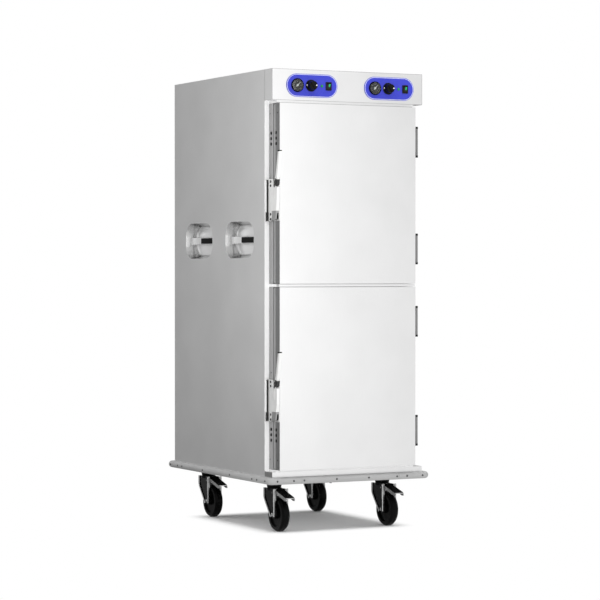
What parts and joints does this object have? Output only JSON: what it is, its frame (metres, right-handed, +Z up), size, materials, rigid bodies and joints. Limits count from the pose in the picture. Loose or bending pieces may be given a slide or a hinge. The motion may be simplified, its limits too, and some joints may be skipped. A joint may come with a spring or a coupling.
{
  "type": "food_warming_cabinet",
  "caption": "Free-standing insulated food warming cabinet with stacked lever-latched doors, header controls, side lifting handles and braked swivel casters",
  "frame": {"origin": "on the floor, under the middle of the whole outline", "axes": "+X to the right of someone facing the doors, -Y the side of the doors, +Z up"},
  "size_m": [0.678, 0.953, 1.709],
  "materials": {
    "satin_stainless": "satin brushed",
    "polished_steel": "polished",
    "drawn_steel": "deep drawn, half bright",
    "zinc_steel": "bright zinc plate",
    "dark_steel": "dark satin",
    "grey_bumper": "matte moulded",
    "grey_gasket": "matte extruded",
    "black_rubber": "matte",
    "black_tyre": "semi-gloss moulded",
    "black_plastic": "fine moulded",
    "blue_plate": "printed gloss",
    "green_lens": "clear tinted",
    "green_rocker": "clear tinted",
    "white_enamel": "gloss paint",
    "clear_glass": "clear",
    "mineral_board": "rough pressed fibre"
  },
  "bodies": {
    "cabinet": {"left_side_panel": "satin_stainless", "right_side_panel": "satin_stainless", "rear_panel": "satin_stainless", "cable_gland": "black_plastic", "top_panel": "satin_stainless", "front_frame": "satin_stainless", "door_collars": "satin_stainless", "header_shell": "satin_stainless", "base_frame": "satin_stainless", "bumper_rails": "grey_bumper", "bumper_corners": "grey_bumper", "side_liners": "satin_stainless", "rear_liner": "satin_stainless", "compartment_shelves": "satin_stainless", "insulation_boards": "mineral_board", "lifting_handles": "drawn_steel", "handle_grips": "black_rubber", "control_plates": "blue_plate", "thermometer_cases": "black_plastic", "thermometer_lenses": "clear_glass", "thermostats": "zinc_steel", "pilot_lamps": "green_lens", "switch_housings": "black_plastic", "hinge_fixed_leaves": "dark_steel", "latch_strikes": "polished_steel", "strike_packings": "black_plastic", "caster_mounts": "zinc_steel", "tray_racks": "satin_stainless", "heating_elements": "dark_steel", "water_trays": "satin_stainless"},
    "upper_door": {"upper_door_shell": "satin_stainless", "upper_door_liner": "satin_stainless", "upper_door_gasket": "grey_gasket", "upper_door_hinge_leaves": "dark_steel", "upper_latch_body": "polished_steel"},
    "upper_lever": {"upper_latch_lever": "polished_steel"},
    "lower_door": {"lower_door_shell": "satin_stainless", "lower_door_liner": "satin_stainless", "lower_door_gasket": "grey_gasket", "lower_door_hinge_leaves": "dark_steel", "lower_latch_body": "polished_steel"},
    "lower_lever": {"lower_latch_lever": "polished_steel"},
    "left_needle": {"left_needle": "white_enamel"},
    "left_knob": {"left_knob": "black_plastic"},
    "left_rocker": {"left_rocker": "green_rocker"},
    "right_needle": {"right_needle": "white_enamel"},
    "right_knob": {"right_knob": "black_plastic"},
    "right_rocker": {"right_rocker": "green_rocker"},
    "front_left_caster": {"front_left_fork": "zinc_steel"},
    "front_left_wheel": {"front_left_wheel": "black_tyre"},
    "front_left_pedal": {"front_left_brake": "zinc_steel"},
    "front_right_caster": {"front_right_fork": "zinc_steel"},
    "front_right_wheel": {"front_right_wheel": "black_tyre"},
    "front_right_pedal": {"front_right_brake": "zinc_steel"},
    "rear_left_caster": {"rear_left_fork": "zinc_steel"},
    "rear_left_wheel": {"rear_left_wheel": "black_tyre"},
    "rear_left_pedal": {"rear_left_brake": "zinc_steel"},
    "rear_right_caster": {"rear_right_fork": "zinc_steel"},
    "rear_right_wheel": {"rear_right_wheel": "black_tyre"},
    "rear_right_pedal": {"rear_right_brake": "zinc_steel"}
  },
  "joints": [
    {"name": "upper_door_swing", "type": "hinge", "parent": "cabinet", "child": "upper_door", "pos_m": [0.279, -0.4475, 1.2515], "axis": [0, 0, 1], "range_deg": [0, 180]},
    {"name": "upper_lever_pull", "type": "hinge", "parent": "upper_door", "child": "upper_lever", "pos_m": [-0.304, -0.4455, 1.292], "axis": [1, 0, 0], "range_deg": [0, 35], "stiffness_Nm_per_rad": 0.8, "springref_deg": -17.19},
    {"name": "lower_door_swing", "type": "hinge", "parent": "cabinet", "child": "lower_door", "pos_m": [0.279, -0.4475, 0.574], "axis": [0, 0, 1], "range_deg": [0, 180]},
    {"name": "lower_lever_pull", "type": "hinge", "parent": "lower_door", "child": "lower_lever", "pos_m": [-0.304, -0.4455, 0.557], "axis": [1, 0, 0], "range_deg": [0, 35], "stiffness_Nm_per_rad": 0.8, "springref_deg": -17.19},
    {"name": "left_needle_turn", "type": "hinge", "parent": "cabinet", "child": "left_needle", "pos_m": [-0.213, -0.4285, 1.65], "axis": [0, 1, 0], "range_deg": [-180, 90]},
    {"name": "left_knob_turn", "type": "hinge", "parent": "cabinet", "child": "left_knob", "pos_m": [-0.157, -0.4285, 1.65], "axis": [0, 1, 0], "range_deg": [-100, 170]},
    {"name": "left_rocker_tip", "type": "hinge", "parent": "cabinet", "child": "left_rocker", "pos_m": [-0.084, -0.4245, 1.65], "axis": [1, 0, 0], "range_deg": [-12, 0]},
    {"name": "right_needle_turn", "type": "hinge", "parent": "cabinet", "child": "right_needle", "pos_m": [0.111, -0.4285, 1.65], "axis": [0, 1, 0], "range_deg": [-180, 90]},
    {"name": "right_knob_turn", "type": "hinge", "parent": "cabinet", "child": "right_knob", "pos_m": [0.167, -0.4285, 1.65], "axis": [0, 1, 0], "range_deg": [-100, 170]},
    {"name": "right_rocker_tip", "type": "hinge", "parent": "cabinet", "child": "right_rocker", "pos_m": [0.24, -0.4245, 1.65], "axis": [1, 0, 0], "range_deg": [-12, 0]},
    {"name": "front_left_swivel", "type": "hinge", "parent": "cabinet", "child": "front_left_caster", "pos_m": [-0.23, -0.2705, 0.159], "axis": [0, 0, 1], "continuous": true},
    {"name": "front_left_roll", "type": "hinge", "parent": "front_left_caster", "child": "front_left_wheel", "pos_m": [-0.23, -0.3105, 0.0635], "axis": [1, 0, 0], "continuous": true},
    {"name": "front_left_brake_press", "type": "hinge", "parent": "front_left_caster", "child": "front_left_pedal", "pos_m": [-0.23, -0.2985, 0.144], "axis": [1, 0, 0], "range_deg": [0, 15]},
    {"name": "front_right_swivel", "type": "hinge", "parent": "cabinet", "child": "front_right_caster", "pos_m": [0.23, -0.2705, 0.159], "axis": [0, 0, 1], "continuous": true},
    {"name": "front_right_roll", "type": "hinge", "parent": "front_right_caster", "child": "front_right_wheel", "pos_m": [0.23, -0.3105, 0.0635], "axis": [1, 0, 0], "continuous": true},
    {"name": "front_right_brake_press", "type": "hinge", "parent": "front_right_caster", "child": "front_right_pedal", "pos_m": [0.23, -0.2985, 0.144], "axis": [1, 0, 0], "range_deg": [0, 15]},
    {"name": "rear_left_swivel", "type": "hinge", "parent": "cabinet", "child": "rear_left_caster", "pos_m": [-0.23, 0.3155, 0.159], "axis": [0, 0, 1], "continuous": true},
    {"name": "rear_left_roll", "type": "hinge", "parent": "rear_left_caster", "child": "rear_left_wheel", "pos_m": [-0.23, 0.2755, 0.0635], "axis": [1, 0, 0], "continuous": true},
    {"name": "rear_left_brake_press", "type": "hinge", "parent": "rear_left_caster", "child": "rear_left_pedal", "pos_m": [-0.23, 0.2875, 0.144], "axis": [1, 0, 0], "range_deg": [0, 15]},
    {"name": "rear_right_swivel", "type": "hinge", "parent": "cabinet", "child": "rear_right_caster", "pos_m": [0.23, 0.3155, 0.159], "axis": [0, 0, 1], "continuous": true},
    {"name": "rear_right_roll", "type": "hinge", "parent": "rear_right_caster", "child": "rear_right_wheel", "pos_m": [0.23, 0.2755, 0.0635], "axis": [1, 0, 0], "continuous": true},
    {"name": "rear_right_brake_press", "type": "hinge", "parent": "rear_right_caster", "child": "rear_right_pedal", "pos_m": [0.23, 0.2875, 0.144], "axis": [1, 0, 0], "range_deg": [0, 15]}
  ]
}
